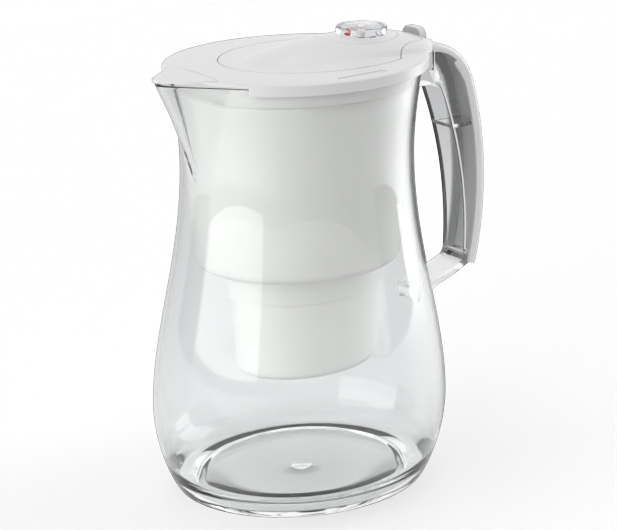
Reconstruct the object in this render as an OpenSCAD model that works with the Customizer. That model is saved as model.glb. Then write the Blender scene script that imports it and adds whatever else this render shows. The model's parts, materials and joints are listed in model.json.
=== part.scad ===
// Water filter pitcher with a flip lid: an oval clear jug, a lift-out hopper with its
// filter cartridge, and a lid with a fill flap, a spout flap and a change indicator.
// +X points to the handle, -X to the spout, and the jug stands on z = 0.

/* [Jug] */
// Height of the jug's rim above the table
jug_h = 279.5; // [272:0.5:286]
// Mean radius where the jug meets the table
foot_r = 80; // [76:0.5:84]
// Mean radius of the belly
belly_r = 95; // [92:0.5:98]
// Height of the belly
belly_z = 55; // [45:1:62]
// Mean radius of the waist
waist_r = 73.4; // [72.6:0.2:75]
// Distance from the jug's rim down to the waist
waist_drop = 57.5; // [48:0.5:64]
// Mean radius of the mouth, outside
mouth_r = 79.5; // [78.5:0.1:80.5]
// Share by which the plan is longer, and narrower, than its mean radius
oval_k = 0.07; // [0.05:0.005:0.08]
// Thickness of the clear wall
wall = 2.8; // [2.2:0.1:3.2]
// Thickness of the jug's floor
floor_t = 4.5; // [3:0.5:7]

/* [Spout] */
// Distance by which the tip of the spout stands out before the mouth
spout_out = 18.435; // [14:0.005:23]
// Radius of the spout's nose
nose_r = 5.5; // [4:0.5:7]
// Distance from the jug's rim down to where the spout's ridge leaves the wall
spout_drop = 65.5; // [55:0.5:74]

/* [Handle] */
// Distance from the jug's axis to the back of the handle
handle_reach = 147.6; // [142:0.2:152]
// Radius of the handle's long back curve
back_r = 242; // [230:1:260]
// Radius of the bend over the top of the handle
bend_r = 39.7; // [38:0.1:42]
// Angle at which the long curve passes into the bend
bend_a = 17.5; // [15:0.5:20]
// Distance from the jug's rim down to the middle of the long back curve
back_drop = 98.5; // [95:0.5:102]
// Width of the white handle cover
cover_w = 27; // [25:0.5:29]
// Thickness of the cover's skin
cover_t = 1.9; // [1.5:0.1:2.4]
// Depth of the cover's side flanges
flange_d = 8.2; // [7:0.2:9]
// Thickness of the clear channel's walls
channel_t = 2.5; // [2:0.1:3]
// Radius of the curve on the finger side
grip_r = 271; // [262:1:280]
// Depth of the handle from its back to the finger side
grip_d = 16.8; // [15.5:0.1:20]
// Distance from the jug's rim down to the top of the finger gap
grip_drop = 25.5; // [22:0.5:32]

/* [Hopper] */
// Gap between the hopper and the inside of the jug
hopper_gap = 0.5; // [0.4:0.1:0.8]
// Thickness of the hopper's wall
hopper_t = 2; // [1.6:0.1:2.5]
// Distance from the jug's rim down to the underside of the hopper
hopper_drop = 128.5; // [124:0.5:133]
// Mean radius of the hopper at its lower corner
hopper_low_r = 65; // [62:0.5:66.5]
// Depth of the thick band at the hopper's rim
band_h = 12.2; // [9:0.2:15]
// Step from the band down to the wall
band_step = 0.9; // [0.6:0.1:1.4]

/* [Filter cartridge] */
// Mean radius of the cartridge where it enters its socket
cart_r = 46; // [43:0.1:47]
// Share by which the cartridge is longer, and narrower, than its mean radius
cart_k = 0.17; // [0.14:0.01:0.18]
// Distance from the underside of the hopper down to that of the cartridge
cart_drop = 73; // [62:1:80]
// Mean radius lost towards the bottom of the cartridge
cart_taper = 2.4; // [1:0.1:4]
// Distance of the cartridge from the jug's axis, towards the handle
cart_x = 5; // [3:0.5:7]
// Depth of the socket below the hopper
socket_h = 19.5; // [14:0.5:24]
// Thickness of the socket's wall
socket_t = 1.7; // [1.4:0.1:2.2]
// Gap between the cartridge and its socket
socket_gap = 0.45; // [0.4:0.05:0.7]

/* [Lid] */
// Thickness of the lid's plate
plate_t = 2.6; // [2.4:0.1:3]
// Height lost from the middle of the lid to its edge
lid_crown = 1.1; // [0.6:0.1:1.4]
// Gap between the jug's rim and the underside of the lid
rim_gap = 1.9; // [1.8:0.1:2.4]
// Thickness of the lid's skirt
skirt_t = 1.5; // [1.2:0.1:2]
// Gap between the skirt and the jug's rim
skirt_gap = 1.7; // [1.4:0.1:2]
// Depth of the skirt below the lid's plate
skirt_h = 5.4; // [4:0.2:7]
// Where the skirt stops, before the spout
skirt_end = 68; // [66:0.5:70]

/* [Fill flap] */
// Width of the lid's border before the flap
front_border = 36.8; // [34:0.2:40]
// Width of the lid's border behind the flap
rear_border = 6.8; // [6:0.2:9]
// Width of the lid's border beside the flap
side_border = 25.7; // [24:0.1:28]
// Half of the width of the raised spine where it meets the bridge
spine_w = 33; // [31:0.5:34]
// Height of the raised spine above the lid
spine_h = 9.3; // [7:0.1:10]
// Gap round the flap
flap_gap = 0.5; // [0.4:0.1:0.7]
// Distance from the mouth of the jug out to the flap's hinge
hinge_out = 9.935; // [9:0.005:11]
// Height of the flap's hinge above the underside of the lid's plate
hinge_up = 0.6; // [0.4:0.1:1]
// Radius of the hinge pin
pin_r = 1.6; // [1.3:0.1:2]
// Running clearance of the hinge pin
pin_fit = 0.05; // [0.03:0.01:0.08]
// Height of the thumb tab above the hinge
tab_h = 9.2; // [8.4:0.2:11]
// Width of the thumb tab
tab_w = 20; // [16:0.5:20]

/* [Change indicator] */
// Distance from the jug's axis to the indicator
dial_x = 51.4; // [49:0.2:53]
// Radius of the indicator's clear knob
knob_r = 16.5; // [14:0.5:17]
// Height of the clear knob
knob_h = 5.6; // [4.6:0.2:7]
// Half of the length of the oval insert
insert_a = 29; // [27:0.5:30]
// Half of the width of the oval insert
insert_b = 22.5; // [21:0.5:24]

/* [Spout flap] */
// Distance by which the spout flap stands out over the tip of the spout
lip_over = 2.5; // [1:0.5:4]
// Distance from the mouth of the jug in to the flap's hinge
lip_hinge_in = 2; // [1:0.1:3]
// Radius of the flap's pins
lip_pin_r = 0.6; // [0.5:0.05:0.65]
// Thickness of the spout flap
lip_t = 1.8; // [1.6:0.1:2]

/* [Hidden] */
$fn = 96;

clear_fit = 0.2;
waist_z = jug_h - waist_drop;
spout_z = jug_h - spout_drop;
hopper_z = jug_h - hopper_drop;
cart_z = hopper_z - cart_drop;
spout_reach = (1 + oval_k) * mouth_r + spout_out;
hinge_x = (1 + oval_k) * mouth_r + hinge_out;
lip_hinge_x = mouth_r - lip_hinge_in;
lip_reach = spout_reach + lip_over;
white = [0.93, 0.93, 0.91];
clear = [0.78, 0.84, 0.88, 0.45];

// Profile of the jug: foot to belly, belly to waist, waist to mouth
function low_r(z) = foot_r + (belly_r - foot_r) * pow(sin(90 * z / belly_z), 0.75);
function mid_t(z) = pow((z - belly_z) / (waist_z - belly_z), 0.9);
function mid_r(z) = waist_r + (belly_r - waist_r) * (1 + cos(180 * mid_t(z))) / 2;
function top_r(z) = waist_r + (mouth_r - waist_r) * pow((z - waist_z) / (jug_h - waist_z), 1.8);
function jug_r(z) = z < belly_z ? low_r(max(z, 0)) : z < waist_z ? mid_r(z) : top_r(z);
function steps(a, b, n) = [for (i = [1:n]) a + (b - a) * i / n];
foot_zs = [1.5, 4, 8, 14, 22, 32, 43];
jug_zs = concat(foot_zs, [belly_z], steps(belly_z, waist_z, 9), steps(waist_z, jug_h, 5));

// Inside of the jug, with a round corner at the floor
corner_z = 26;
floor_r = foot_r - 16;
nub_h = 1;
function corner_s(z) = sqrt(1 - pow(1 - min(1, (z - floor_t) / (corner_z - floor_t)), 2));
function full_in(z) = jug_r(z) - wall;
function jug_in(z) = z >= corner_z ? full_in(z) : floor_r + (full_in(corner_z) - floor_r) * corner_s(z);
in_zs = concat([for (t = [0.02, 0.1, 0.25, 0.5, 0.75]) floor_t + (corner_z - floor_t) * t],
  [for (z = jug_zs) if (z > corner_z - 1) z]);

module oval() scale([1 + oval_k, 1 - oval_k, 1]) children();
module side(w) translate([0, w / 2, 0]) rotate([90, 0, 0]) linear_extrude(w) children();

// Spout: a rounded nose that runs down into the wall, drawn in by the wall for the inside
root_x = mouth_r - 7.5;
root_y = 31;
fold_x = spout_reach - 12.5;
fold_y = 21;
fold_z = jug_h - 27.5;
function spout_foot(inset) = (1 + oval_k) * jug_r(spout_z) - inset - 1.5;
module spout_rim(inset, up) {
  translate([nose_r - spout_reach, 0, jug_h - 1]) cylinder(r = nose_r - inset, h = 1 + up, $fn = 32);
  translate([-root_x + inset, inset - root_y, jug_h - 1]) cube([30, 2 * (root_y - inset), 1 + up]);
}
module spout_fold(inset) {
  translate([nose_r - fold_x, 0, fold_z]) cylinder(r = nose_r - inset, h = 0.1, $fn = 32);
  translate([-root_x + inset, inset - fold_y, fold_z]) cube([24, 2 * (fold_y - inset), 0.1]);
}
module spout_end(inset) {
  translate([-spout_foot(inset), 0, spout_z + inset]) cylinder(r = 0.5, h = 1, $fn = 16);
  translate([-root_x + 22, -8, spout_z + inset]) cube([6, 16, 1]);
}
module spout(inset, up) {
  hull() {
    spout_rim(inset, up);
    spout_fold(inset);
  }
  hull() {
    spout_fold(inset);
    spout_end(inset);
  }
}

module jug_outside() {
  difference() {
    oval() rotate_extrude()
      polygon(concat([[0, -1], [foot_r - 1.2, -1], [foot_r - 1.2, 0]],
        [for (z = jug_zs) [jug_r(z), z]], [[0, jug_h]]));
    translate([-150, -150, -5]) cube([300, 300, 5]);
  }
}

module jug_shell() color(clear) {
  difference() {
    union() {
      jug_outside();
      spout(0, 0);
    }
    oval() rotate_extrude() polygon(concat([[0, floor_t], [floor_r, floor_t]],
      [for (z = in_zs) [jug_in(z), z]], [[jug_in(jug_h), jug_h + 1], [0, jug_h + 1]]));
    spout(wall, 1);
  }
  translate([0, 0, floor_t - 0.01]) cylinder(r1 = 7, r2 = 4, h = nub_h);
}

// Handle: two tangent arcs for the back and a third for the finger side
back_c = [handle_reach - back_r, jug_h - back_drop];
bend_c = [back_c[0] + (back_r - bend_r) * cos(bend_a), back_c[1] + (back_r - bend_r) * sin(bend_a)];
grip_c = [handle_reach - grip_d - grip_r, jug_h - 134.5];
grip_top = jug_h - grip_drop;
cover_low_a = -13.8;
bridge_back = hinge_x + 5;
cover_front = bridge_back + 0.5;
lip_z = jug_h - 15.5;
lip_gap = 0.5;
channel_w = cover_w - 2 * cover_t;
channel_out = channel_w - 2 * clear_fit;
channel_root = mouth_r - 7.5;
rib_z = jug_h - 58.5;

// Point at a share of the way out from the wall to the handle's back, and down from the rim
arm_root = mouth_r + 8.5;
function at(share, drop) = [arm_root + share * (handle_reach - arm_root), jug_h - drop];
arm_over = [at(-0.47, 178.5), at(0.067, 166.5), at(0.336, 161.3), at(0.554, 156.1), at(0.789, 150)];
arm_under = [at(-0.47, 193.5), at(0, 183.5), at(0.1, 178.5), at(0.168, 173), at(0.285, 167.2),
  at(0.587, 160.9), at(0.812, 154.5), at(1.04, 148)];

module back_region(inset) {
  intersection() {
    translate(back_c) circle(back_r - inset, $fn = 360);
    translate(back_c) rotate(bend_a) translate([60, -300]) square([300, 300]);
  }
  translate(bend_c) circle(bend_r - inset);
}

module finger_gap() {
  offset(r = 7) offset(delta = -7) intersection() {
    translate(grip_c) circle(grip_r, $fn = 360);
    polygon(concat(arm_over, [at(0.789, grip_drop), at(-0.47, grip_drop)]));
  }
}

module arm_end() polygon(concat(arm_under, [at(1.04, jug_h), at(-0.47, jug_h)]));

module channel_side() {
  difference() {
    intersection() {
      union() {
        back_region(cover_t + clear_fit);
        intersection() {
          back_region(0);
          translate(back_c) rotate(cover_low_a) translate([60, -300]) square([300, 300 - clear_fit]);
        }
        translate([channel_root, grip_top - 20]) square([bridge_back + 10 - channel_root, 40]);
      }
      translate([channel_root, 0]) square([handle_reach, lip_z - lip_gap]);
    }
    finger_gap();
    arm_end();
  }
  difference() {
    intersection() {
      back_region(cover_t + clear_fit);
      translate([cover_front + cover_t + clear_fit, grip_top - 50]) square([handle_reach, 100]);
    }
    finger_gap();
  }
}

module channel_hollow() {
  difference() {
    translate([cover_front + 4, jug_h - 148.5]) square([handle_reach, 160]);
    translate(grip_c) circle(grip_r + channel_t, $fn = 360);
  }
}

module handle_channel() color(clear) difference() {
  union() {
    difference() {
      side(channel_out) channel_side();
      side(channel_out - 2 * channel_t) channel_hollow();
    }
    side(channel_out - 2 * channel_t + 1) intersection() {
      channel_side();
      translate([cover_front, rib_z]) square([handle_reach, channel_t]);
    }
  }
  jug_outside();
}

// Cover: a skin with flanges, a step over the bend and a row of small snap teeth
step_a = 50;
step_d = 3;
edge_r = 4;
tooth_a = 2.6;
module above_step() translate(bend_c) rotate(step_a) square([100, 100]);
module cover_side() {
  difference() {
    back_region(0);
    back_region(flange_d);
    intersection() {
      translate(bend_c) circle(bend_r - flange_d + step_d);
      above_step();
    }
    square([cover_front, jug_h + 100]);
    translate(back_c) rotate(cover_low_a) translate([60, -300]) square([300, 300]);
  }
}

module edge_sweep(c, r, from_a, to_a) translate([c[0], 0, c[1]]) rotate([90, 0, 0])
  rotate_extrude(start = from_a, angle = to_a - from_a, $fn = 360)
    for (s = [-1, 1]) translate([r - edge_r, s * (cover_w / 2 - edge_r)]) difference() {
      translate([0, s < 0 ? -9 : 0]) square(9);
      circle(edge_r, $fn = 48);
    }

module handle_cover() color(white) {
  difference() {
    side(cover_w) cover_side();
    side(channel_w) intersection() {
      back_region(cover_t);
      translate([cover_front + cover_t, 0]) square([handle_reach, jug_h + 100]);
    }
    edge_sweep(back_c, back_r, cover_low_a - 1, bend_a + 0.5);
    edge_sweep(bend_c, bend_r, bend_a, 100);
  }
  for (a = [bend_a + 6.5:tooth_a:step_a - 4], y = [-cover_w / 2, cover_w / 2 - cover_t])
    translate([bend_c[0], 0, bend_c[1]]) rotate([0, -a, 0])
      translate([bend_r - flange_d - 0.8, y, -0.5]) cube([1.2, cover_t, 1]);
}

// Hopper
hopper_top = jug_h + 0.3;
hopper_floor = hopper_z + hopper_t;
flat_x = 72;
band_z = hopper_top - band_h;
function below_r(z) = min(hopper_low_r + 0.075 * (z - hopper_z), waist_r - wall - hopper_gap - band_step);
function above_r(z) = full_in(z) - hopper_gap - band_step;
function hopper_r(z) = z < waist_z ? below_r(z) : above_r(z);
hopper_zs = concat([for (a = [0:18:90]) hopper_z + 6 - 6 * cos(a)], steps(hopper_z + 6, waist_z, 4),
  steps(waist_z, band_z, 3));
function corner_in(z) = z < hopper_z + 6 ? 6 - sqrt(36 - pow(hopper_z + 6 - z, 2)) : 0;
function hopper_in(z) = hopper_r(z) - corner_in(z) - hopper_t;

module flat_front(inset) translate([inset - flat_x, -150, 0]) cube([300, 300, 400]);
module hopper_inside() intersection() {
  oval() rotate_extrude() polygon(concat([[0, hopper_floor], [hopper_in(hopper_floor), hopper_floor]],
    [for (z = hopper_zs) if (z > hopper_floor + 0.1) [hopper_in(z), z]],
    [[hopper_in(band_z), hopper_top + 9], [0, hopper_top + 9]]));
  flat_front(hopper_t);
}

module hopper_bowl() color(white) difference() {
  intersection() {
    oval() rotate_extrude() polygon(concat([[0, hopper_z]],
      [for (z = hopper_zs) [hopper_r(z) - corner_in(z), z]],
      [[full_in(band_z) - hopper_gap, band_z], [full_in(jug_h) - hopper_gap, jug_h],
       [full_in(jug_h) - hopper_gap, hopper_top], [mouth_r - 0.4, hopper_top],
       [mouth_r - 0.4, hopper_top + 1.2], [0, hopper_top + 1.2]]));
    flat_front(0);
  }
  hopper_inside();
  cart_oval() translate([0, 0, hopper_z - 1]) cylinder(r = socket_in, h = 10);
}

// Filter cartridge and its socket
socket_in = cart_r + socket_gap;
socket_out = socket_in + socket_t;
module cart_oval() translate([cart_x, 0, 0]) scale([1 + cart_k, 1 - cart_k, 1]) children();
module cart_ring(out, in, z, h) cart_oval() translate([0, 0, z]) difference() {
  cylinder(r = out, h = h);
  translate([0, 0, -1]) cylinder(r = in, h = h + 2);
}

module filter_socket() color(white) cart_ring(socket_out, socket_in, hopper_z - socket_h, socket_h);

cart_wall = 1.6;
cart_floor = cart_z + 2;
cart_rim = hopper_floor + 0.2;
seal_z = hopper_floor - 7;
function cart_rr(z) = cart_r - cart_taper * max(0, hopper_z - socket_h - z) / (hopper_z - socket_h - cart_z);
module cartridge_shell() color(white) difference() {
  cart_oval() rotate_extrude() polygon(concat(
    [[0, cart_z]],
    [for (a = [0:15:90]) [cart_rr(cart_z) - 6 + 6 * sin(a), cart_z + 6 - 6 * cos(a)]],
    [[cart_r, hopper_z - socket_h], [cart_r, seal_z], [cart_r - 0.9, seal_z], [cart_r - 0.9, seal_z + 2.4],
     [cart_r, seal_z + 2.4], [cart_r, cart_rim], [cart_r + 3.6, cart_rim], [cart_r + 3.6, cart_rim + 1.8],
     [cart_r - cart_wall - 0.9, cart_rim + 1.8], [cart_r - cart_wall - 0.9, hopper_z - socket_h],
     [cart_rr(cart_z) - cart_wall - 1, cart_floor + 4], [cart_rr(cart_z) - 7, cart_floor], [0, cart_floor]]));
  for (x = [-24:12:24], y = [-12:12:12])
    translate([cart_x + x, y, cart_z - 1]) cylinder(r = 2, h = 4);
}

cart_in = cart_r - cart_wall - 0.9;
cap_z = cart_rim + 1.8;
module cartridge_cap() color(white) difference() {
  cart_oval() union() {
    translate([0, 0, cap_z - 6]) difference() {
      cylinder(r = cart_in - 0.2, h = 6.5);
      translate([0, 0, -1]) cylinder(r = cart_in - 2, h = 8);
    }
    rotate_extrude() polygon([[0, cap_z + 5], [cart_in - 14, cap_z + 5], [cart_in - 4, cap_z + 2.6],
      [cart_r + 3, cap_z + 1.6], [cart_r + 3, cap_z], [cart_in - 3, cap_z], [cart_in - 14, cap_z + 3],
      [0, cap_z + 3]]);
  }
  for (x = [-24:8:24], s = [-1, 1])
    translate([cart_x + x - 1.6, s * 13 - 8, cap_z - 1]) cube([3.2, 16, 8]);
}

module cartridge_inlet_screen() color("gainsboro")
  cart_oval() translate([0, 0, cap_z - 7]) cylinder(r = cart_in - 0.4, h = 0.7);

module cartridge_outlet_screen() color("gainsboro")
  cart_oval() translate([0, 0, cart_floor + 0.1]) cylinder(r = cart_rr(cart_z) - 7.4, h = 0.7);

module filter_media() color("dimgray") cart_oval() translate([0, 0, cart_floor + 1])
  cylinder(r1 = cart_rr(cart_z) - 7.4, r2 = cart_in - 0.5, h = cap_z - 8.2 - cart_floor);

module cartridge_seal() color("silver") cart_ring(cart_r + 0.15, cart_r - 0.8, seal_z + 0.2, 2);

// Lid
lid_z = jug_h + rim_gap;
lid_top = lid_z + plate_t;
skirt_in = mouth_r + skirt_gap;
lid_r = skirt_in + skirt_t;
hinge_z = lid_z + hinge_up;
rear_r = 19;
neck_w = 15.2;
flap_a = (1 + oval_k) * lid_r - (front_border + rear_border) / 2;
flap_b = (1 - oval_k) * lid_r - side_border;
flap_x = (front_border - rear_border) / 2;

module flap_plan(grow) {
  translate([flap_x, 0]) scale([(flap_a + grow) / flap_b, (flap_b + grow) / flap_b]) circle(flap_b);
  translate([flap_x + 25, -spine_w - grow]) square([46, 2 * (spine_w + grow)]);
}

// Spout flap in plan: a round nose, two hinge ears and a back edge
lip_nose = 6;
lip_half = 27;
ear_r = 1.5;
module lip_plan(grow) hull() {
  translate([lip_nose - lip_reach, 0]) circle(lip_nose + grow, $fn = 48);
  for (s = [-1, 1]) {
    translate([-lip_hinge_x - 0.6, s * (lip_half - ear_r)]) circle(ear_r + grow, $fn = 32);
    translate([-lip_hinge_x + 1.2, s * 12]) circle(ear_r + grow, $fn = 32);
  }
}

module hinge_round(r, w) translate([hinge_x, 0, hinge_z]) rotate([90, 0, 0])
  cylinder(r = r, h = w, center = true);

module flap_space(low, high, grow) difference() {
  translate([0, 0, low]) linear_extrude(high - low) flap_plan(grow);
  hinge_round(rear_r - flap_gap - 0.1, 200);
}

module neck_space() {
  translate([hinge_x - rear_r - 2, -neck_w / 2 - flap_gap, hinge_z - 1.2])
    cube([rear_r + 2, neck_w + 2 * flap_gap, 30]);
  hinge_round(4.5 + flap_gap, neck_w + 2 * flap_gap);
}

module in_front_of(x) translate([-300, -300, 0]) cube([300 + x, 600, 600]);

// Crowned plate of the lid, with a ledge that the fill flap rests on
function crown_z(r) = lid_top - lid_crown * pow(r / lid_r, 2);
module lid_plate() oval() rotate_extrude() polygon(concat(
  [[0, lid_z], [lid_r, lid_z], [lid_r, crown_z(lid_r) - 1.2], [lid_r - 0.4, crown_z(lid_r) - 0.4]],
  [for (r = [lid_r - 1.2, 72, 60, 48, 36, 24, 12, 0]) [r, crown_z(r)]]));

module flap_oval(shrink, low, h) translate([flap_x, 0, low])
  scale([(flap_a - shrink) / flap_b, (flap_b - shrink) / flap_b, 1]) cylinder(r = flap_b, h = h);

ledge_t = 1.8;
ledge_w = 3;
module lid_cover() color(white) difference() {
  union() {
    lid_plate();
    intersection() {
      flap_oval(-ledge_w, lid_z - ledge_t, ledge_t + 0.5);
      oval() cylinder(r = hopper_in(band_z) - hopper_gap, h = lid_top);
      in_front_of(hinge_x - rear_r - 1);
    }
  }
  flap_space(lid_z - 0.2, lid_top + 20, flap_gap);
  intersection() {
    flap_oval(ledge_w + 1, lid_z - 20, 40);
    in_front_of(hinge_x - rear_r - 4);
  }
  neck_space();
  translate([0, 0, lid_z - 1]) linear_extrude(20) lip_plan(0.6);
  translate([-lip_hinge_x, 0, lid_z + lip_t / 2]) rotate([90, 0, 0])
    cylinder(r = lip_pin_r + pin_fit, h = 2 * lip_half + 10, center = true);
  translate([2, -66, crown_z(70) - 0.5]) rotate(1.5) hull() {
    translate([-17, 0, 0]) cylinder(r = 1.2, h = 2, $fn = 24);
    translate([17, 0, 0]) cylinder(r = 2.6, h = 2, $fn = 24);
  }
}

module lid_skirt() color(white) difference() {
  oval() rotate_extrude() polygon([[skirt_in, lid_z - skirt_h], [lid_r - 0.4, lid_z - skirt_h],
    [lid_r, lid_z - skirt_h + 0.4], [lid_r, lid_z], [skirt_in, lid_z]]);
  in_front_of(-skirt_end);
  neck_space();
}

module knob_point(x, y, z, r) translate([x, y, z - r]) sphere(r = r, $fn = 20);
shoulder_z = lid_top + 6.4;
module bridge_form() hull() {
  for (s = [-1, 1]) {
    knob_point(hinge_x - 45, s * 37, lid_top + 1.5, 1.5);
    knob_point(hinge_x - 33, s * 36, shoulder_z - 1, 2);
    knob_point(hinge_x - rear_r + 3, s * 31, shoulder_z, 2);
    knob_point(hinge_x - 5, s * 12, shoulder_z - 2.6, 2);
    translate([hinge_x - 33, s * 39.5 - 0.5, lid_top - 1]) cylinder(r = 0.5, h = 1, $fn = 12);
    translate([hinge_x - 15, s * 34, lid_top - 1]) cylinder(r = 0.5, h = 1, $fn = 12);
    translate([bridge_back - 1, s * (cover_w / 2 - 1), lip_z])
      cylinder(r = 1, h = hinge_z - 1 - lip_z, $fn = 24);
    translate([hinge_x - 11, s * (cover_w / 2 - 1), lip_z + 4]) cylinder(r = 1, h = 6, $fn = 24);
  }
}

module bridge_spaces() {
  neck_space();
  difference() {
    translate([hinge_x - 3.1, -tab_w / 2 - 0.6, hinge_z - 1.2]) cube([20, tab_w + 1.2, 30]);
    hinge_round(4.3, 100);
  }
  hinge_round(pin_r + pin_fit, cover_w - 4);
}

module lid_bridge() color(white) difference() {
  bridge_form();
  lid_plate();
  translate([-200, -200, 0]) cube([400, 400, lid_z]);
  flap_space(lid_z - 1, lid_top + 20, flap_gap);
  bridge_spaces();
}

module bridge_lip() color(white) difference() {
  intersection() {
    bridge_form();
    translate([0, -cover_w / 2, 0]) cube([2 * hinge_x, cover_w, lid_z]);
  }
  oval() cylinder(r = lid_r, h = lid_z + 1);
  bridge_spaces();
}

module flap_hinge_pin() color("silver") hinge_round(pin_r, cover_w - 4.4);

// Fill flap
flap_low = lid_z + 0.1;
flap_top = lid_top - 0.35;
crest_z = lid_top + spine_h;
module spine(inset) hull() {
  translate([-36 + inset, 0, flap_top - 1.5]) sphere(r = 2, $fn = 24);
  for (s = [-1, 1]) {
    knob_point(2, s * (19 - inset), lid_top + 3.6 - inset, 2);
    knob_point(dial_x - 20, s * (spine_w - 5 - inset), crest_z - 3.4 - inset, 3);
    knob_point(dial_x + 10, s * (spine_w - 3 - inset), crest_z - 3.2 - inset, 3);
    knob_point(hinge_x - rear_r + 8, s * (spine_w - 3 - inset), crest_z - 4 - inset, 3);
    translate([dial_x - 12, s * (spine_w - inset) - s * 0.5, flap_low]) cylinder(r = 0.5, h = 1, $fn = 12);
    translate([hinge_x - 5, s * (spine_w - inset) - s * 0.5, flap_low]) cylinder(r = 0.5, h = 1, $fn = 12);
  }
  for (x = [-12, 12]) translate([dial_x + x, 0, crest_z - 1.2 - inset]) rotate([90, 0, 0])
    cylinder(r = 1.2, h = 22, center = true, $fn = 24);
  translate([hinge_x - 6, 0, crest_z - 4 - inset]) rotate([90, 0, 0])
    cylinder(r = 1.2, h = 22, center = true, $fn = 24);
}

seat_z = crest_z - 2.6;
module insert_oval(grow, low) translate([dial_x - 4, 0, low])
  scale([(insert_a + grow) / insert_b, (insert_b + grow) / insert_b, 1]) cylinder(r = insert_b, h = 20);

module fill_flap() color(white) difference() {
  union() {
    difference() {
      union() {
        translate([0, 0, flap_low]) linear_extrude(flap_top - flap_low) flap_plan(0);
        spine(0);
      }
      hinge_round(rear_r, 200);
    }
    side(neck_w) translate([hinge_x, hinge_z]) polygon([[-rear_r - 4, 0.4], [0, 0], [2, 4], [-3, 6.2],
      [-9, 7.2], [-rear_r - 4, crest_z - 4.4 - hinge_z]]);
    hinge_round(4.5, neck_w);
    side(tab_w) translate([hinge_x, hinge_z]) polygon([[-2.4, 5.4], [2.4, 5], [1.8, tab_h - 1], [0.8, tab_h],
      [-1, tab_h], [-2, tab_h - 1]]);
    side(neck_w) translate([hinge_x - 2.4, hinge_z]) square([4.8, 6]);
  }
  difference() {
    spine(4.6);
    translate([hinge_x - rear_r - 3, -100, 0]) cube([100, 200, 400]);
  }
  hinge_round(pin_r + pin_fit, neck_w + 2);
  insert_oval(clear_fit, seat_z);
  translate([dial_x, 0, lid_z - 5]) cylinder(r = 14.4, h = 30);
}

module thumb_pad() color("silver")
  translate([hinge_x - 2.4, 0, hinge_z]) side(tab_w - 3)
    polygon([[-0.1, 6.7], [-0.8, 6.8], [-0.6, tab_h - 1.4], [0.15, tab_h - 1.2]]);

module indicator_insert() color(white) difference() {
  intersection() {
    insert_oval(0, seat_z + 0.05);
    spine(-0.05);
  }
  translate([dial_x, 0, crest_z - 1]) cylinder(r = knob_r + 0.5, h = 20);
  translate([dial_x, 0, seat_z - 5]) cylinder(r = 12, h = 30);
}

cup_low = seat_z - 7;
dial_z = crest_z - 1;
module indicator_cup() color([0.1, 0.12, 0.2]) difference() {
  union() {
    translate([dial_x, 0, cup_low]) cylinder(r = 14, h = seat_z - cup_low);
    translate([dial_x, 0, cup_low]) cylinder(r = 11.8, h = dial_z - cup_low);
  }
  translate([dial_x, 0, cup_low + 1.6]) cylinder(r = 10, h = 20);
  translate([dial_x, 0, cup_low - 1]) cylinder(r = 2.15, h = 20);
}

module indicator_scale() color([0.2, 0.24, 0.36]) difference() {
  translate([dial_x, 0, dial_z + 0.05]) cylinder(r = knob_r - 2.2, h = 0.8);
  translate([dial_x, 0, dial_z - 1]) cylinder(r = 2.3, h = 4);
}

module indicator_spindle() color("silver") {
  translate([dial_x, 0, cup_low + 0.2]) cylinder(r = 2.1, h = dial_z + 3.8 - cup_low);
  translate([dial_x, 0, cup_low + 1.9]) cylinder(r = 4.5, h = 1.2);
}

module indicator_pointer() color("red")
  translate([dial_x, 0, dial_z + 1.45]) difference() {
    union() {
      cylinder(r = 3.6, h = 0.7);
      translate([-11, -0.7, 0]) cube([11, 1.4, 0.7]);
    }
    translate([0, 0, -1]) cylinder(r = 2.15, h = 3);
  }

module indicator_knob() color(clear) translate([dial_x, 0, dial_z + 0.3]) rotate_extrude()
  polygon([[knob_r - 1.5, 0], [knob_r, 0], [knob_r, 3.4], [knob_r - 0.8, 4.1], [knob_r * 0.6, knob_h - 0.4],
    [knob_r * 0.3, knob_h], [0, knob_h + 0.05], [0, knob_h - 1.5], [knob_r * 0.5, knob_h - 2],
    [knob_r - 1.8, 2.8]]);

// Spout flap
module spout_flap() color(white) difference() {
  translate([0, 0, lid_z]) linear_extrude(lip_t) lip_plan(0);
  for (s = [-1, 1]) translate([-lip_hinge_x, s * (lip_half - 3), lid_z + lip_t / 2])
    rotate([90, 0, 0]) cylinder(r = lip_pin_r, h = 8, center = true);
}

module spout_flap_pins() color("silver")
  for (s = [-1, 1]) translate([-lip_hinge_x, s * (lip_half - 1.6), lid_z + lip_t / 2])
    rotate([90, 0, 0]) cylinder(r = lip_pin_r, h = 10.6, center = true);

jug_shell();
handle_channel();
handle_cover();
hopper_bowl();
filter_socket();
cartridge_shell();
cartridge_cap();
cartridge_inlet_screen();
cartridge_outlet_screen();
filter_media();
cartridge_seal();
lid_cover();
lid_skirt();
lid_bridge();
bridge_lip();
flap_hinge_pin();
fill_flap();
thumb_pad();
indicator_insert();
indicator_cup();
indicator_scale();
indicator_spindle();
indicator_pointer();
indicator_knob();
spout_flap();
spout_flap_pins();
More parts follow.
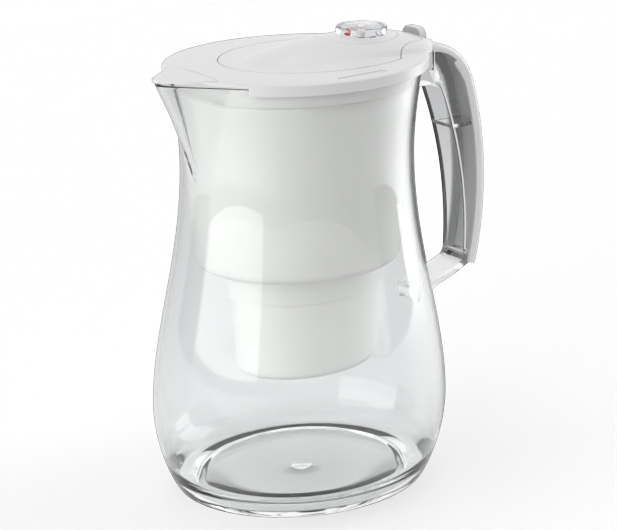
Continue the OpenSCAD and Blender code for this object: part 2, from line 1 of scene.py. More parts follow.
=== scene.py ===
import bpy
import bmesh
import json
import math
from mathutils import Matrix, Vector

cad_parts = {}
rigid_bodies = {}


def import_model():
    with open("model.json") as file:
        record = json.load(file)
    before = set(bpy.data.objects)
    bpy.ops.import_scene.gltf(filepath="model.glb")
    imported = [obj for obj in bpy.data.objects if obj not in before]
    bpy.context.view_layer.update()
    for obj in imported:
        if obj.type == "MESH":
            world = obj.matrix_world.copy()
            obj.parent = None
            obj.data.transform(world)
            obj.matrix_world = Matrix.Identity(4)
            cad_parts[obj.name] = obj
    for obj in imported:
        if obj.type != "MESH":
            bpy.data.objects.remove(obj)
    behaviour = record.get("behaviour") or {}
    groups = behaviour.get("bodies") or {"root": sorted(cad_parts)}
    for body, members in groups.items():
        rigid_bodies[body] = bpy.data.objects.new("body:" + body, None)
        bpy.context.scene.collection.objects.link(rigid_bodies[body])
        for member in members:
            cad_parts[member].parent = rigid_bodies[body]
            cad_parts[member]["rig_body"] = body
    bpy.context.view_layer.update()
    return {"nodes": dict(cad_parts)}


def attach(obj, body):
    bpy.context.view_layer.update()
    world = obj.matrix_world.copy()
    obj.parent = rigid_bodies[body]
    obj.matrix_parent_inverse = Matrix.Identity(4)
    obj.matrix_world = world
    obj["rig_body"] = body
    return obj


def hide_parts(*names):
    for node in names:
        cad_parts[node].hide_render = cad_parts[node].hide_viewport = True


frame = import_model()
NODES = frame["nodes"]

# Sizes in millimetres, and the share by which the plan is longer and narrower than a circle
MM = 0.001
OVAL = (1.07, 0.93)
FOOT_R = 80
BELLY_R = 95
BELLY_Z = 55
WAIST_R = 73.4
WAIST_Z = 222
MOUTH_R = 79.5
JUG_H = 279.5
WALL = 2.8
FLOOR_Z = 4.5
FLOOR_R = 64.0
CORNER_Z = 26.0
BAND_LINE = 267.3
LID_TOP = 284.0
LID_Z = 281.4
LID_R = 82.5
HINGE = (95.0, 0.0, 282.0)
PIN_BORE = 1.65
KNUCKLE_R = 4.5
KNUCKLE_W = 15.2
DIAL_X = 51.4
INSERT_A = 29
INSERT_B = 22.5
CUT_TOP = 300


# Handling of objects

def only(obj):
    """Selects one object, or none, in object mode."""
    if bpy.context.object and bpy.context.object.mode != "OBJECT":
        bpy.ops.object.mode_set(mode="OBJECT")
    bpy.ops.object.select_all(action="DESELECT")
    if obj:
        obj.select_set(True)
        bpy.context.view_layer.objects.active = obj


def edit(obj, select="DESELECT"):
    """Opens an object for work on its points."""
    only(obj)
    bpy.ops.object.mode_set(mode="EDIT")
    bpy.ops.mesh.select_mode(type="VERT")
    bpy.ops.mesh.select_all(action=select)
    return bmesh.from_edit_mesh(obj.data)


def leave(obj, angle=30):
    """Back to the object, shaded smooth up to an angle."""
    bpy.ops.object.mode_set(mode="OBJECT")
    only(obj)
    bpy.ops.object.shade_smooth_by_angle(angle=math.radians(angle))


def outward(obj):
    """Joins points that lie together and turns the faces outwards."""
    edit(obj, "SELECT")
    bpy.ops.mesh.remove_doubles(threshold=0.000002)
    bpy.ops.mesh.normals_make_consistent(inside=False)
    bpy.ops.object.mode_set(mode="OBJECT")


def apply_modifier(obj, kind, **values):
    """Adds a modifier, sets it and applies it."""
    only(obj)
    made = obj.modifiers.new(kind.lower(), kind)
    for key, value in values.items():
        setattr(made, key, value)
    bpy.ops.object.modifier_apply(modifier=made.name)


def place(obj, body, slot, finish, *nodes):
    """Gives a piece its finish, its body and the nodes that it stands for."""
    obj.data.materials.clear()
    obj.data.materials.append(finish)
    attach(obj, body)
    if nodes:
        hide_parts(*nodes)
    return obj


def from_part(node, finish, slot, angle=30):
    """A smooth-shaded piece with the part's own surface."""
    source = NODES[node]
    obj = bpy.data.objects.new(node + "_smooth", source.data.copy())
    bpy.context.scene.collection.objects.link(obj)
    outward(obj)
    only(obj)
    bpy.ops.mesh.customdata_custom_splitnormals_clear()
    leave(obj, angle)
    return place(obj, source["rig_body"], slot, finish, node)


# Turned shapes

def turned(name, profile, sides):
    """Rings of a profile of (radius, height) pairs in millimetres, closed over the axis."""
    only(None)
    (r0, z0) = profile[0]
    bpy.ops.mesh.primitive_circle_add(vertices=sides, radius=r0 * MM, location=(0, 0, 0))
    obj = bpy.context.object
    obj.name = name
    edit(obj, "SELECT")
    bpy.ops.transform.translate(value=(0, 0, z0 * MM))
    for (ra, za), (rb, zb) in zip(profile, profile[1:]):
        bpy.ops.mesh.extrude_edges_move(TRANSFORM_OT_translate={"value": (0, 0, (zb - za) * MM)})
        bpy.ops.transform.resize(value=(rb / ra, rb / ra, 1), center_override=(0, 0, zb * MM))
    bpy.ops.mesh.merge(type="CENTER")
    bm = bmesh.from_edit_mesh(obj.data)
    for v in bm.verts:
        v.select = abs(v.co.z - z0 * MM) < 1e-6 and abs(v.co.xy.length - r0 * MM) < 1e-6
    bm.select_flush(True)
    bmesh.update_edit_mesh(obj.data)
    bpy.ops.mesh.merge(type="CENTER")
    bpy.ops.object.mode_set(mode="OBJECT")
    return obj


# Surfaces and cuts

def select_where(obj, test):
    """Selects the points whose place passes a test."""
    bm = bmesh.from_edit_mesh(obj.data)
    for v in bm.verts:
        v.select = test(v.co)
    bm.select_flush(True)
    bmesh.update_edit_mesh(obj.data)


def solid_from_grid(name, rows, low, levels):
    """A smooth surface through rows of points in millimetres, closed down to a flat underside."""
    only(None)
    bpy.ops.mesh.primitive_grid_add(
        x_subdivisions=len(rows) - 1, y_subdivisions=len(rows[0]) - 1, size=2)
    obj = bpy.context.object
    obj.name = name
    bm = edit(obj)
    across = sorted({round(v.co.x, 5) for v in bm.verts})
    along = sorted({round(v.co.y, 5) for v in bm.verts})
    moves = []
    for v in bm.verts:
        row = rows[across.index(round(v.co.x, 5))]
        moves.append((v.index, row[along.index(round(v.co.y, 5))], v.co.copy()))
    bm.verts.ensure_lookup_table()
    for index, goal, start in moves:
        v = bm.verts[index]
        v.select_set(True)
        bpy.ops.transform.translate(value=Vector(goal) * MM - start)
        v.select_set(False)
    bpy.ops.object.mode_set(mode="OBJECT")
    apply_modifier(obj, "SUBSURF", levels=levels, render_levels=levels)
    edit(obj, "SELECT")
    bpy.ops.mesh.extrude_region_move(TRANSFORM_OT_translate={"value": (0, 0, -0.05)})
    bpy.ops.transform.resize(value=(1, 1, 0), center_override=(0, 0, low * MM))
    bpy.ops.object.mode_set(mode="OBJECT")
    outward(obj)
    return obj


def prism(name, outline, low, high):
    """An upright block with an outline of (x, y) points in millimetres."""
    only(None)
    bpy.ops.mesh.primitive_circle_add(vertices=len(outline), radius=1, fill_type="NGON")
    obj = bpy.context.object
    obj.name = name
    bm = edit(obj)
    bm.verts.ensure_lookup_table()
    starts = [v.co.copy() for v in bm.verts]
    turn = [math.atan2(start.y, start.x) % (2 * math.pi) for start in starts]
    order = sorted(range(len(outline)), key=lambda i: turn[i])
    for i, (x, y) in zip(order, outline):
        v = bm.verts[i]
        v.select_set(True)
        bpy.ops.transform.translate(value=Vector((x, y, low)) * MM - starts[i])
        v.select_set(False)
    bpy.ops.mesh.select_all(action="SELECT")
    bpy.ops.mesh.extrude_region_move(TRANSFORM_OT_translate={"value": (0, 0, (high - low) * MM)})
    bpy.ops.object.mode_set(mode="OBJECT")
    outward(obj)
    return obj


def rod(name, radius, where, length, axis="Z", sides=64):
    """A round bar along Y or Z."""
    turn = {"Y": (math.pi / 2, 0, 0), "Z": (0, 0, 0)}[axis]
    only(None)
    bpy.ops.mesh.primitive_cylinder_add(vertices=sides, radius=radius * MM, depth=length * MM,
                                        location=Vector(where) * MM, rotation=turn)
    obj = bpy.context.object
    obj.name = name
    bpy.ops.object.transform_apply(location=True, rotation=True, scale=True)
    return obj


def block(name, size, where):
    """A square block with its middle at a place."""
    only(None)
    bpy.ops.mesh.primitive_cube_add(size=1, location=Vector(where) * MM)
    obj = bpy.context.object
    obj.name = name
    obj.scale = Vector(size) * MM
    bpy.ops.object.transform_apply(location=True, rotation=True, scale=True)
    return obj


def copy_of(obj, name):
    """A copy with its own mesh."""
    made = obj.copy()
    made.data = obj.data.copy()
    made.name = name
    bpy.context.scene.collection.objects.link(made)
    return made


def combine(obj, operation, *tools):
    """Joins, cuts or intersects an object with tools, which are used up."""
    for tool in tools:
        apply_modifier(obj, "BOOLEAN", operation=operation, solver="EXACT", object=tool)
        bpy.data.objects.remove(tool)
    return obj


# Materials

def new_material(name, colour, roughness, **values):
    """A material with one shader, set from its inputs' names."""
    made = bpy.data.materials.new(name)
    made.use_nodes = True
    shader = made.node_tree.nodes["Principled BSDF"]
    shader.inputs["Base Color"].default_value = (*colour, 1)
    shader.inputs["Roughness"].default_value = roughness
    for key, value in values.items():
        shader.inputs[key.replace("_", " ")].default_value = value
    return made, made.node_tree, shader


def add(tree, kind, **values):
    """Adds a shader node and sets its inputs or its properties."""
    node = tree.nodes.new(kind)
    for key, value in values.items():
        if key in node.inputs:
            node.inputs[key].default_value = value
        else:
            setattr(node, key, value)
    return node


def fine_grain(tree, shader, scale, depth, spread=0.04, base=None):
    """Moulding grain: a fine bump, and a slow change in gloss."""
    place_on = add(tree, "ShaderNodeTexCoord")
    grain = add(tree, "ShaderNodeTexNoise", Scale=scale, Detail=3.0)
    tree.links.new(place_on.outputs["Object"], grain.inputs["Vector"])
    bump = add(tree, "ShaderNodeBump", Strength=0.25, Distance=depth * MM)
    tree.links.new(grain.outputs["Fac"], bump.inputs["Height"])
    tree.links.new(bump.outputs["Normal"], shader.inputs["Normal"])
    slow = add(tree, "ShaderNodeTexNoise", Scale=22.0, Detail=4.0)
    tree.links.new(place_on.outputs["Object"], slow.inputs["Vector"])
    level = add(tree, "ShaderNodeMapRange")
    rough = shader.inputs["Roughness"].default_value
    level.inputs["To Min"].default_value = max(0.0, rough - spread)
    level.inputs["To Max"].default_value = rough + spread
    tree.links.new(slow.outputs["Fac"], level.inputs["Value"])
    tree.links.new(level.outputs["Result"], shader.inputs["Roughness"])
    if base:
        tint = add(tree, "ShaderNodeValToRGB")
        tint.color_ramp.elements[0].color = (*base[0], 1)
        tint.color_ramp.elements[1].color = (*base[1], 1)
        tree.links.new(slow.outputs["Fac"], tint.inputs["Fac"])
        tree.links.new(tint.outputs["Color"], shader.inputs["Base Color"])


def clear_plastic(name, tint, roughness, shade=0.8):
    """Clear moulding that lets lamps shine through it on to what stands behind."""
    made, tree, shader = new_material(name, tint, roughness, Transmission_Weight=1.0, IOR=1.5)
    fine_grain(tree, shader, 60.0, 0.02, spread=0.01)
    through = add(tree, "ShaderNodeBsdfTransparent", Color=(shade, shade, shade, 1))
    path = add(tree, "ShaderNodeLightPath")
    mix = add(tree, "ShaderNodeMixShader")
    tree.links.new(path.outputs["Is Shadow Ray"], mix.inputs["Fac"])
    tree.links.new(shader.outputs["BSDF"], mix.inputs[1])
    tree.links.new(through.outputs["BSDF"], mix.inputs[2])
    tree.links.new(mix.outputs["Shader"], tree.nodes["Material Output"].inputs["Surface"])
    return made


def white_plastic(name, light, dark, roughness):
    """Satin moulding with a little light under its skin."""
    made, tree, shader = new_material(
        name, light, roughness, Subsurface_Weight=0.08, Coat_Weight=0.15)
    shader.inputs["Subsurface Radius"].default_value = (0.003, 0.003, 0.003)
    shader.inputs["Coat Roughness"].default_value = 0.2
    fine_grain(tree, shader, 1400.0, 0.02, base=(dark, light))
    return made


def grained(name, colour, roughness, scale, depth):
    """One colour with a moulding grain."""
    made, tree, shader = new_material(name, colour, roughness)
    fine_grain(tree, shader, scale, depth)
    return made


clear = clear_plastic("clear wall", (0.975, 0.985, 0.985), 0.015)
clear_soft = clear_plastic("clear handle", (0.97, 0.975, 0.98), 0.05, shade=0.95)
clear_lens = clear_plastic("clear knob", (0.98, 0.985, 0.99), 0.01)
white = white_plastic("white satin", (0.86, 0.86, 0.85), (0.835, 0.835, 0.825), 0.32)
white_inner = white_plastic("white inner", (0.84, 0.84, 0.82), (0.82, 0.82, 0.8), 0.4)
filter_white = white_plastic("filter white", (0.87, 0.87, 0.85), (0.84, 0.84, 0.82), 0.45)
pin_white = white_plastic("pin white", (0.8, 0.8, 0.79), (0.76, 0.76, 0.75), 0.3)
# The pad's grey is painted shade: the thumb tab's front face turns away from the light, and it is
# darkened here by a separate grey sheet.
pad_painted_shade = white_plastic("pad painted shade", (0.5, 0.5, 0.5), (0.46, 0.46, 0.46), 0.5)
dark_cup = grained("dark cup", (0.03, 0.035, 0.06), 0.35, 900.0, 0.02)
red = grained("red pointer", (0.55, 0.03, 0.04), 0.3, 900.0, 0.02)
rubber = grained("seal rubber", (0.5, 0.51, 0.51), 0.6, 700.0, 0.05)


def mesh_material():
    """Woven filter cloth."""
    made, tree, shader = new_material("filter mesh", (0.7, 0.7, 0.68), 0.7)
    where = add(tree, "ShaderNodeTexCoord")
    across = add(tree, "ShaderNodeTexWave", Scale=900.0)
    along = add(tree, "ShaderNodeTexWave", Scale=900.0)
    along.bands_direction = "Y"
    for wave in (across, along):
        tree.links.new(where.outputs["Object"], wave.inputs["Vector"])
    both = add(tree, "ShaderNodeMath", operation="MAXIMUM")
    tree.links.new(across.outputs["Fac"], both.inputs[0])
    tree.links.new(along.outputs["Fac"], both.inputs[1])
    tint = add(tree, "ShaderNodeValToRGB")
    tint.color_ramp.elements[0].color = (0.25, 0.25, 0.24, 1)
    tint.color_ramp.elements[1].color = (0.75, 0.75, 0.73, 1)
    tree.links.new(both.outputs["Value"], tint.inputs["Fac"])
    tree.links.new(tint.outputs["Color"], shader.inputs["Base Color"])
    bump = add(tree, "ShaderNodeBump", Strength=0.5, Distance=0.1 * MM)
    tree.links.new(both.outputs["Value"], bump.inputs["Height"])
    tree.links.new(bump.outputs["Normal"], shader.inputs["Normal"])
    return made


def granule_material():
    """Dark granules, each of its own tone."""
    made, tree, shader = new_material("filter granules", (0.02, 0.02, 0.02), 0.6)
    where = add(tree, "ShaderNodeTexCoord")
    grains = add(tree, "ShaderNodeTexVoronoi", Scale=1100.0)
    tree.links.new(where.outputs["Object"], grains.inputs["Vector"])
    tint = add(tree, "ShaderNodeValToRGB")
    tint.color_ramp.elements[0].color = (0.015, 0.015, 0.016, 1)
    tint.color_ramp.elements[1].color = (0.16, 0.15, 0.13, 1)
    tree.links.new(grains.outputs["Color"], tint.inputs["Fac"])
    tree.links.new(tint.outputs["Color"], shader.inputs["Base Color"])
    bump = add(tree, "ShaderNodeBump", Strength=0.8, Distance=0.4 * MM)
    tree.links.new(grains.outputs["Distance"], bump.inputs["Height"])
    tree.links.new(bump.outputs["Normal"], shader.inputs["Normal"])
    return made


def scale_material():
    """Printed scale: pale spokes and rings on dark blue-grey, about the indicator's axis."""
    made, tree, shader = new_material("scale print", (0.05, 0.06, 0.12), 0.35)
    where = add(tree, "ShaderNodeTexCoord")
    shift = add(tree, "ShaderNodeVectorMath", operation="SUBTRACT")
    shift.inputs[1].default_value = (DIAL_X * MM, 0, 0)
    tree.links.new(where.outputs["Object"], shift.inputs[0])
    parts = add(tree, "ShaderNodeSeparateXYZ")
    tree.links.new(shift.outputs["Vector"], parts.inputs["Vector"])
    turn = add(tree, "ShaderNodeMath", operation="ARCTAN2")
    tree.links.new(parts.outputs["Y"], turn.inputs[0])
    tree.links.new(parts.outputs["X"], turn.inputs[1])
    many = add(tree, "ShaderNodeMath", operation="MULTIPLY")
    many.inputs[1].default_value = 12.0
    tree.links.new(turn.outputs["Value"], many.inputs[0])
    spokes = add(tree, "ShaderNodeMath", operation="SINE")
    tree.links.new(many.outputs["Value"], spokes.inputs[0])
    reach = add(tree, "ShaderNodeVectorMath", operation="LENGTH")
    tree.links.new(shift.outputs["Vector"], reach.inputs[0])
    rings = add(tree, "ShaderNodeMath", operation="MULTIPLY")
    rings.inputs[1].default_value = 1900.0
    flat = add(tree, "ShaderNodeCombineXYZ")
    tree.links.new(parts.outputs["X"], flat.inputs["X"])
    tree.links.new(parts.outputs["Y"], flat.inputs["Y"])
    tree.links.new(flat.outputs["Vector"], reach.inputs[0])
    tree.links.new(reach.outputs["Value"], rings.inputs[0])
    waves = add(tree, "ShaderNodeMath", operation="SINE")
    tree.links.new(rings.outputs["Value"], waves.inputs[0])
    both = add(tree, "ShaderNodeMath", operation="MULTIPLY")
    tree.links.new(spokes.outputs["Value"], both.inputs[0])
    tree.links.new(waves.outputs["Value"], both.inputs[1])
    tint = add(tree, "ShaderNodeValToRGB")
    tint.color_ramp.elements[0].position = 0.1
    tint.color_ramp.elements[0].color = (0.07, 0.08, 0.16, 1)
    tint.color_ramp.elements[1].position = 0.35
    tint.color_ramp.elements[1].color = (0.62, 0.64, 0.72, 1)
    tree.links.new(both.outputs["Value"], tint.inputs["Fac"])
    tree.links.new(tint.outputs["Color"], shader.inputs["Base Color"])
    return made


mesh_cloth = mesh_material()
scale_print = scale_material()
granules = granule_material()


# The jug: foot, belly, waist and mouth, with a spout drawn out of the front

RIDGE = [  # height, and distance of the spout's edge from the axis
    (214, 78.6), (220, 79.6), (226, 81.6), (237.8, 86.0), (248.7, 89.8), (255.4, 92.4), (263, 95.8),
    (269.7, 99.0), (277, 102.5), (279.5, 103.6)]
SPOUT_LOW = 214.5
SPOUT_HALF = math.radians(42)
SPOUT_FADE = math.radians(8)
SPOUT_NOSE = 0.075
SPOUT_BLEND = 1.2


def jug_radius(z):
    """Mean radius of the jug's outside at a height."""
    if z < BELLY_Z:
        return FOOT_R + (BELLY_R - FOOT_R) * math.sin(math.pi / 2 * max(z, 0) / BELLY_Z) ** 0.75
    if z < WAIST_Z:
        t = ((z - BELLY_Z) / (WAIST_Z - BELLY_Z)) ** 0.9
        return WAIST_R + (BELLY_R - WAIST_R) * (1 + math.cos(math.pi * t)) / 2
    return WAIST_R + (MOUTH_R - WAIST_R) * ((z - WAIST_Z) / (JUG_H - WAIST_Z)) ** 1.8


def between(table, x):
    """Straight-line value from a table of pairs."""
    if x <= table[0][0]:
        return table[0][1]
    for (xa, ya), (xb, yb) in zip(table, table[1:]):
        if x <= xb:
            return ya + (yb - ya) * (x - xa) / (xb - xa)
    return table[-1][1]


def inner_radius(z):
    """Mean radius of the jug's inside, with a round corner to the floor."""
    if z >= CORNER_Z:
        return jug_radius(z) - WALL
    s = math.sqrt(1 - (1 - (z - FLOOR_Z) / (CORNER_Z - FLOOR_Z)) ** 2)
    return FLOOR_R + (jug_radius(CORNER_Z) - WALL - FLOOR_R) * s


def oval_radius(r, angle):
    """Distance from the axis to the oval of a mean radius."""
    return r / math.hypot(math.cos(angle) / OVAL[0], math.sin(angle) / OVAL[1])


def spout_radius(z, angle, inset):
    """Distance from the axis to the V of the spout, with a rounded nose."""
    reach = (between(RIDGE, z) - inset) * (1 + SPOUT_NOSE)
    return reach / (math.cos(angle) + math.sqrt(math.sin(angle) ** 2 + SPOUT_NOSE ** 2))


def make_jug():
    """The clear wall with its foot, floor nub, rim and spout."""
    up = [0.4, 1.2, 2.4, 4, 6, 8.5, 11, 14, 18, 22, 27, 32, 38, 44, 50, 56, 64, 72]
    up += [*range(82, 193, 10), 200, 207, 213, 218, 223, 228, 234, 240, 246, 252, 257, 262, 266, 270]
    up += [273, 276, 278, 279]
    outer = [(0.6, 1.6), (60, 1.6), (66, 1.5), (68, 0.4), (69.5, 0.0), (76.0, 0.0)]
    outer += [(jug_radius(z) - max(0, 1.2 - z) * 1.6, z) for z in up]
    rim_in = MOUTH_R - WALL
    rim = [(MOUTH_R - 0.35, JUG_H - 0.1), (MOUTH_R - 1.0, JUG_H), (rim_in + 1.0, JUG_H),
           (rim_in + 0.35, JUG_H - 0.1)]
    inside = [(inner_radius(z), z) for z in reversed(up) if z > 5]
    inside += [(inner_radius(4.7), 4.7), (FLOOR_R, FLOOR_Z)]
    bottom = [(62.6, FLOOR_Z), (62.2, 4.2), (61.8, FLOOR_Z), (40, FLOOR_Z), (20, FLOOR_Z), (7.5, FLOOR_Z),
              (6.4, 4.8), (4.4, 5.5), (2.5, 5.6), (0.6, 5.6)]
    obj = turned("jug_wall", outer + rim + inside + bottom, 240)
    edit(obj, "SELECT")
    bpy.ops.transform.resize(value=(OVAL[0], OVAL[1], 1), center_override=(0, 0, 0))
    bm = bmesh.from_edit_mesh(obj.data)
    columns = {}
    for v in bm.verts:
        z = v.co.z / MM
        if z < SPOUT_LOW or v.co.x > 0:
            continue
        angle = abs(math.atan2(v.co.y, -v.co.x))
        if angle > SPOUT_HALF:
            continue
        distance = v.co.xy.length / MM
        skin = oval_radius(jug_radius(min(z, JUG_H)), angle) - distance
        key = (round(z, 2), round(angle, 4), round(distance, 1))
        columns.setdefault(key, []).append((v, skin, angle, distance, z))
    bpy.ops.mesh.select_all(action="DESELECT")
    for group in columns.values():
        _, skin, angle, distance, z = group[0]
        inset = min(WALL, max(0.0, skin * math.cos(angle * 0.4)))
        target = spout_radius(z, angle, inset * 1.25)
        wanted = (distance + target + math.hypot(distance - target, SPOUT_BLEND)) / 2
        fade = min(1.0, max(0.0, (SPOUT_HALF - angle) / SPOUT_FADE))
        wanted = distance + (wanted - distance) * fade
        if wanted - distance < 0.01:
            continue
        for v, *_ in group:
            v.select_set(True)
        k = wanted / distance
        bpy.ops.transform.resize(value=(k, k, 1), center_override=(0, 0, z * MM))
        for v, *_ in group:
            v.select_set(False)
    bpy.ops.object.mode_set(mode="OBJECT")
    outward(obj)
    leave(obj, 40)
    return place(obj, "jug", "clear_plastic", clear, "jug_shell")


# The crown of the lid: a smooth dome over the fill flap that runs on into the bridge

CROWN = [  # x, height of the ridge, half-width and height of the crease, half-width of the foot
    (-60, 0, 3, 0, 4), (-50, 0, 5, 0, 7), (-42, 0, 8, 0, 10.5),
    (-37, 0.5, 11.5, 0.0, 14.5), (-30, 2.2, 16.5, 0.0, 19.5), (-20, 4.9, 21.5, 0.1, 24.5),
    (-8, 7.1, 24.5, 0.8, 28.2), (6, 8.8, 26.8, 1.6, 31.4), (20, 10.0, 29.0, 2.3, 34.0),
    (36, 10.6, 31.4, 2.9, 36.0), (52, 10.4, 33.4, 3.2, 37.2), (64, 9.6, 33.6, 3.2, 37.2),
    (76, 8.2, 31.6, 3.0, 35.6), (84, 6.9, 27.5, 2.6, 31.6), (91, 5.2, 21.0, 2.2, 24.5),
    (96, 4.0, 14.5, 1.8, 17.0), (100, 3.2, 11.5, 1.4, 13.6), (104, 2.6, 10.5, 1.2, 12.6)]


def lid_height(x, y):
    """Top of the lid's crowned plate."""
    r2 = (x / OVAL[0]) ** 2 + (y / OVAL[1]) ** 2
    return LID_TOP - 1.1 * r2 / LID_R ** 2 + 0.02


def crown_rows(thin=0.0):
    """Points across the crown, from each line of the table."""
    rows = []
    for x, ridge, crease_w, crease_h, foot_w in CROWN:
        points = []
        for share in (0, 0.25, 0.5, 0.72, 0.9, 0.99):
            y = crease_w * share
            points.append((y, ridge - (ridge - crease_h) * share ** 2.1))
        points.append((crease_w + 0.5, crease_h - 0.12 * min(1, crease_h)))
        points += [(foot_w - 0.4, 0.12 * min(1, crease_h)), (foot_w + 0.6, 0), (foot_w + 6, 0),
                   (50 + 0.02 * foot_w, 0)]
        both = [(-y, h) for y, h in reversed(points[1:])] + points
        rows.append([(x, y, lid_height(x, y) + h - thin) for y, h in both])
    return rows


def mirrored(half):
    """Half an outline and its mirror image across the X axis."""
    return half + [(x, -y) for x, y in reversed(half)]


def grown(outline, by):
    """The outline moved outwards by a clearance."""
    made = []
    n = len(outline)
    for i, (x, y) in enumerate(outline):
        (xa, ya), (xb, yb) = outline[i - 1], outline[(i + 1) % n]
        dx, dy = xb - xa, yb - ya
        d = math.hypot(dx, dy)
        made.append((x + by * dy / d, y - by * dx / d))
    return made


def flap_outline():
    """The flap's oval front and the S of its seam with the bridge."""
    turns = [math.radians(a) for a in range(0, 121, 3)]
    arc = [(15 - 66.5 * math.cos(a), -51 * math.sin(a)) for a in turns]
    seam = [(50.6, -42.6), (53.4, -38.6), (57.6, -33.9), (62.6, -30.2), (68, -27.2), (74, -24.5),
            (80, -22.2), (84.5, -20.2), (87.2, -17.6), (88.2, -14), (88.4, -10.4), (92.8, -10.2)]
    half = arc + seam
    return half[1:] + [(x, -y) for x, y in reversed(half)]


def ellipse(x, a, b, sides=96):
    """Points of an ellipse about a place on the X axis."""
    turns = [2 * math.pi * i / sides for i in range(sides)]
    return [(x + a * math.cos(t), b * math.sin(t)) for t in turns]


def thumb_tab(name, front, back, half, low, top, corner):
    """An upright plate with rounded upper corners."""
    obj = block(name, (back - front, 2 * half, top - low), ((front + back) / 2, 0, (low + top) / 2))
    bm = edit(obj)
    for e in bm.edges:
        a, b = e.verts
        e.select = abs(a.co.x - b.co.x) > 1e-5 and min(a.co.z, b.co.z) > (top - 0.1) * MM
    bmesh.update_edit_mesh(obj.data)
    bpy.ops.mesh.bevel(offset=corner * MM, segments=8)
    bpy.ops.mesh.select_all(action="DESELECT")
    select_where(obj, lambda c: c.x < (front + 0.01) * MM)
    bpy.ops.mesh.bevel(offset=0.5 * MM, segments=3)
    bpy.ops.object.mode_set(mode="OBJECT")
    return obj


def make_crown():
    """The oval insert, the bridge and the fill flap, cut from one dome, and the pad on the flap's tab,
    whose grey is painted shade.
    """
    crown = solid_from_grid("crown", crown_rows(), 281.5, 3)
    hollow = solid_from_grid("hollow", crown_rows(thin=2.6), 270, 2)
    plan = flap_outline()
    insert_x = DIAL_X - 4
    dial = (DIAL_X, 0, 290)

    insert = copy_of(crown, "insert_ring")
    combine(insert, "INTERSECT", prism("cut", ellipse(insert_x, INSERT_A, INSERT_B), 287.6, CUT_TOP))
    combine(insert, "DIFFERENCE", rod("cut", 14.3, dial, 30),
            rod("cut", 17.0, (DIAL_X, 0, 302.4), 20, sides=96))
    leave(insert, 35)
    place(insert, "flap", "white_plastic", white, "indicator_insert")

    bridge = copy_of(crown, "bridge")
    outer = [(50.0, -43.6), (56, -41.2), (63, -38.9), (71, -37.2), (78, -35.2), (84, -31.6),
             (90, -25.6), (95, -19), (98.6, -14.2), (100, -12.2)]
    combine(bridge, "INTERSECT", prism("cut", mirrored(outer), LID_Z, CUT_TOP))
    combine(bridge, "DIFFERENCE", prism("cut", grown(plan, 0.45), 270, CUT_TOP),
            block("cut", (24, 21.2, 20), (92.2 + 12, 0, 290.8)),
            rod("cut", PIN_BORE, HINGE, 23, "Y"))
    leave(bridge, 35)
    place(bridge, "lid", "white_plastic", white, "lid_bridge")

    flap = copy_of(crown, "fill_flap_top")
    combine(flap, "INTERSECT", prism("cut", plan, 270, CUT_TOP))
    room = combine(hollow, "INTERSECT", prism("cut", mirrored([(-44, -60), (75, -60)]), 260, CUT_TOP))
    seat = ellipse(insert_x, INSERT_A + 0.3, INSERT_B + 0.3)
    combine(flap, "DIFFERENCE", prism("cut", seat, 287.5, CUT_TOP), room, rod("cut", 14.4, dial, 40))
    knuckle = rod("knuckle", KNUCKLE_R, HINGE, KNUCKLE_W, "Y")
    neck = block("neck", (14, KNUCKLE_W, 3.4), (87, 0, 284.2))
    tab = thumb_tab("tab", 92.7, 97.0, 9.9, 284.6, 292.3, 6.0)
    combine(flap, "UNION", neck, knuckle, tab)
    combine(flap, "DIFFERENCE", rod("cut", PIN_BORE, HINGE, 30, "Y"))
    leave(flap, 35)
    place(flap, "flap", "white_plastic", white, "fill_flap")

    # The pad on the tab's front is painted shade: a thin grey sheet standing for the shade on that face.
    pad = thumb_tab("pad", 92.15, 92.68, 8.9, 287.6, 291.6, 5.2)
    leave(pad, 35)
    place(pad, "flap", "grey_pad", pad_painted_shade, "thumb_pad")
    bpy.data.objects.remove(crown)


# The hopper and the knob

def make_hopper():
    """The part's own bowl, with a fine groove round the outside of its band."""
    obj = from_part("hopper_bowl", white_inner, "white_plastic")
    half_width, share = 0.3, 0.984
    edit(obj, "SELECT")
    for z in (BAND_LINE - half_width, BAND_LINE, BAND_LINE + half_width):
        bpy.ops.mesh.select_all(action="SELECT")
        bpy.ops.mesh.bisect(plane_co=(0, 0, z * MM), plane_no=(0, 0, 1))
    bpy.ops.mesh.select_all(action="DESELECT")
    bm = bmesh.from_edit_mesh(obj.data)
    ring = [v for v in bm.verts if abs(v.co.z - BAND_LINE * MM) < 1e-6]
    around = [math.hypot(v.co.x / OVAL[0], v.co.y / OVAL[1]) for v in ring]
    middle = (max(around) + min(around)) / 2
    for v, r in zip(ring, around):
        v.select = r > middle
    bm.select_flush(True)
    bmesh.update_edit_mesh(obj.data)
    bpy.ops.transform.resize(value=(share, share, 1), center_override=(0, 0, BAND_LINE * MM))
    bpy.ops.mesh.select_all(action="DESELECT")
    bpy.ops.object.mode_set(mode="OBJECT")


def make_knob():
    """A clear cap with a flat top, hollow below, over the printed scale."""
    source = NODES["indicator_knob"]
    low = min(v.co.z for v in source.data.vertices) / MM
    rise = max(v.co.z for v in source.data.vertices) / MM - low
    wall = [(14.2, 0.62), (14.9, 0.0), (16.3, 0.0), (16.5, 0.1), (16.5, 0.66), (16.3, 0.82),
            (15.8, 0.91), (15.0, 0.94), (13.5, 0.95), (9.0, 0.98)]
    obj = turned("knob_cap", [(r, low + share * rise) for r, share in wall], 96)
    edit(obj, "SELECT")
    bpy.ops.transform.translate(value=(DIAL_X * MM, 0, 0))
    outward(obj)
    leave(obj, 35)
    place(obj, source["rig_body"], "clear_knob", clear_lens, "indicator_knob")


# All the pieces

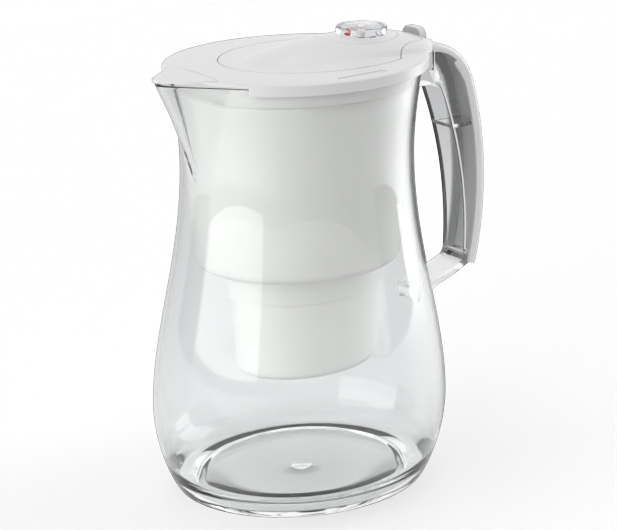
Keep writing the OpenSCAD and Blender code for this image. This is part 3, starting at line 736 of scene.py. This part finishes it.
make_jug()
make_crown()
from_part("lid_skirt", white, "white_plastic")
from_part("bridge_lip", white, "white_plastic")
from_part("handle_channel", clear_soft, "clear_plastic")
from_part("handle_cover", white, "white_plastic", 35)
make_hopper()
from_part("filter_socket", white_inner, "white_plastic")
from_part("cartridge_shell", filter_white, "filter_white")
from_part("cartridge_cap", filter_white, "filter_white")
from_part("cartridge_inlet_screen", mesh_cloth, "filter_mesh")
from_part("cartridge_outlet_screen", mesh_cloth, "filter_mesh")
from_part("filter_media", granules, "filter_granules")
from_part("cartridge_seal", rubber, "seal_rubber")
from_part("lid_cover", white, "white_plastic")
from_part("flap_hinge_pin", pin_white, "pin_plastic")
from_part("indicator_cup", dark_cup, "dark_plastic")
from_part("indicator_scale", scale_print, "scale_print")
from_part("indicator_spindle", pin_white, "pin_plastic")
from_part("indicator_pointer", red, "red_plastic")
make_knob()
from_part("spout_flap", white, "white_plastic")
from_part("spout_flap_pins", pin_white, "pin_plastic")


# Light, floor and camera

def turned_to(obj, where, towards):
    """Sets an object at a place, its front to a point."""
    obj.location = where
    obj.rotation_euler = (Vector(towards) - Vector(where)).to_track_quat("-Z", "Y").to_euler()


def lamp(name, size, power, where, towards, height=None):
    """A soft panel lamp."""
    data = bpy.data.lights.new(name, "AREA")
    data.shape = "RECTANGLE"
    data.size = size
    data.size_y = height or size
    data.energy = power
    obj = bpy.data.objects.new(name, data)
    bpy.context.scene.collection.objects.link(obj)
    turned_to(obj, where, towards)


def card(name, size, where, towards, colour):
    """A flat card beside the set: seen in the clear walls, but not by the camera."""
    only(None)
    bpy.ops.mesh.primitive_plane_add(size=1, location=where)
    obj = bpy.context.object
    obj.name = name
    obj.scale = (size[0], size[1], 1)
    turned_to(obj, where, towards)
    obj.data.materials.append(new_material(name, colour, 1.0)[0])
    obj.visible_camera = False
    obj.visible_shadow = False
    obj.visible_diffuse = False


def background():
    """A room of even light that is plain white to the camera and in gloss and glass."""
    world = bpy.data.worlds.new("white room")
    bpy.context.scene.world = world
    world.use_nodes = True
    tree = world.node_tree
    back = tree.nodes["Background"]
    back.inputs["Color"].default_value = (0.93, 0.94, 0.95, 1)
    back.inputs["Strength"].default_value = 0.4
    plain = add(tree, "ShaderNodeBackground")
    plain.inputs["Color"].default_value = (1, 1, 1, 1)
    plain.inputs["Strength"].default_value = 1.0
    path = add(tree, "ShaderNodeLightPath")
    either = add(tree, "ShaderNodeMath", operation="MAXIMUM")
    tree.links.new(path.outputs["Is Camera Ray"], either.inputs[0])
    tree.links.new(path.outputs["Is Transmission Ray"], either.inputs[1])
    shiny = add(tree, "ShaderNodeMath", operation="MAXIMUM")
    tree.links.new(either.outputs["Value"], shiny.inputs[0])
    tree.links.new(path.outputs["Is Glossy Ray"], shiny.inputs[1])
    mix = add(tree, "ShaderNodeMixShader")
    tree.links.new(shiny.outputs["Value"], mix.inputs["Fac"])
    tree.links.new(back.outputs["Background"], mix.inputs[1])
    tree.links.new(plain.outputs["Background"], mix.inputs[2])
    tree.links.new(mix.outputs["Shader"], tree.nodes["World Output"].inputs["Surface"])


def floor():
    """The table, which only shows the shadow."""
    only(None)
    bpy.ops.mesh.primitive_plane_add(size=3.0, location=(0, 0, -0.0004))
    obj = bpy.context.object
    obj.name = "table"
    obj.is_shadow_catcher = True
    obj.data.materials.append(new_material("table white", (1, 1, 1), 0.6)[0])


background()
floor()
lamp("window", 1.1, 3.6, (-0.86, -0.08, 0.37), (-0.05, 0, 0.2), height=0.65)
lamp("right", 0.6, 4.6, (0.95, -0.15, 0.35), (0, 0, 0.17), height=0.9)
lamp("top", 0.9, 3.3, (0.0, 0.1, 1.2), (0, 0, 0.25))
card("left_card", (0.5, 1.2), (-0.75, 0.65, 0.2), (0, 0, 0.15), (0.12, 0.12, 0.12))
card("right_card", (0.5, 1.2), (0.85, -0.45, 0.2), (0, 0, 0.15), (0.2, 0.2, 0.2))

camera = bpy.data.objects.new("camera", bpy.data.cameras.new("camera"))
bpy.context.scene.collection.objects.link(camera)
camera.location = (-0.72751, -1.04151, 0.54850)
camera.rotation_euler = (math.radians(72.3806), math.radians(0.5858), math.radians(-35.4014))
camera.data.sensor_width = 36
camera.data.lens = 118.736
bpy.context.scene.camera = camera
bpy.context.scene.view_settings.view_transform = "Standard"
